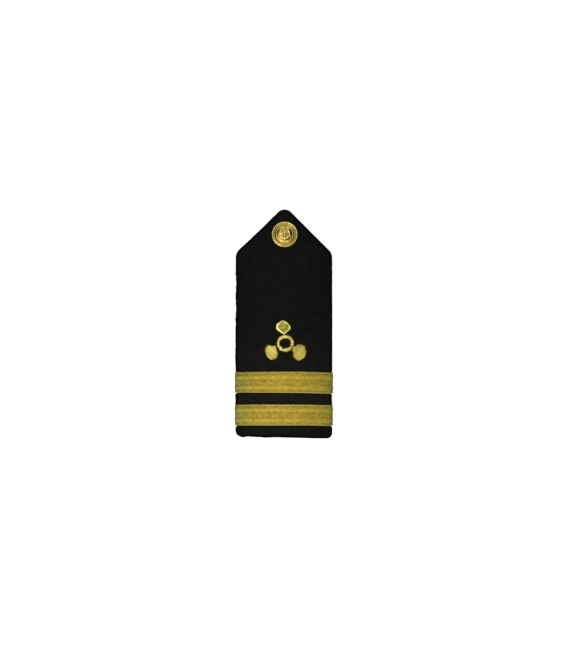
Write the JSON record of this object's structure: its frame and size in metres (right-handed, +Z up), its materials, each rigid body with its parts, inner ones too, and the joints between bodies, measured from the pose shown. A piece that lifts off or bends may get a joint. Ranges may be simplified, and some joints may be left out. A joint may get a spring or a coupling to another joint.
{
  "type": "shoulder board",
  "caption": "Stiff cloth-covered shoulder board with a pointed end, bands of gold lace, an embroidered propeller, a domed gilt button and a strap underneath.",
  "frame": {"origin": "under the middle of the board, on the surface that it lies on", "axes": "+Y along the board towards its pointed end, +Z up through its top, +X across it to the right"},
  "size_m": [0.0584, 0.1359, 0.0122],
  "materials": {
    "cloth": "matt fulled wool",
    "backing": "matt twill",
    "lace": "woven metallic gold thread",
    "embroidery": "satin-stitched gold thread",
    "gilt": "polished gilt",
    "pin": "drawn wire",
    "strap": "grained, semi-matt"
  },
  "bodies": {
    "root": {"board": "cloth", "backing": "backing", "upper_lace": "lace", "lower_lace": "lace", "propeller_hub": "embroidery", "top_blade": "embroidery", "left_blade": "embroidery", "right_blade": "embroidery", "button": "gilt", "hairpin": "pin", "strap": "strap"}
  },
  "joints": []
}
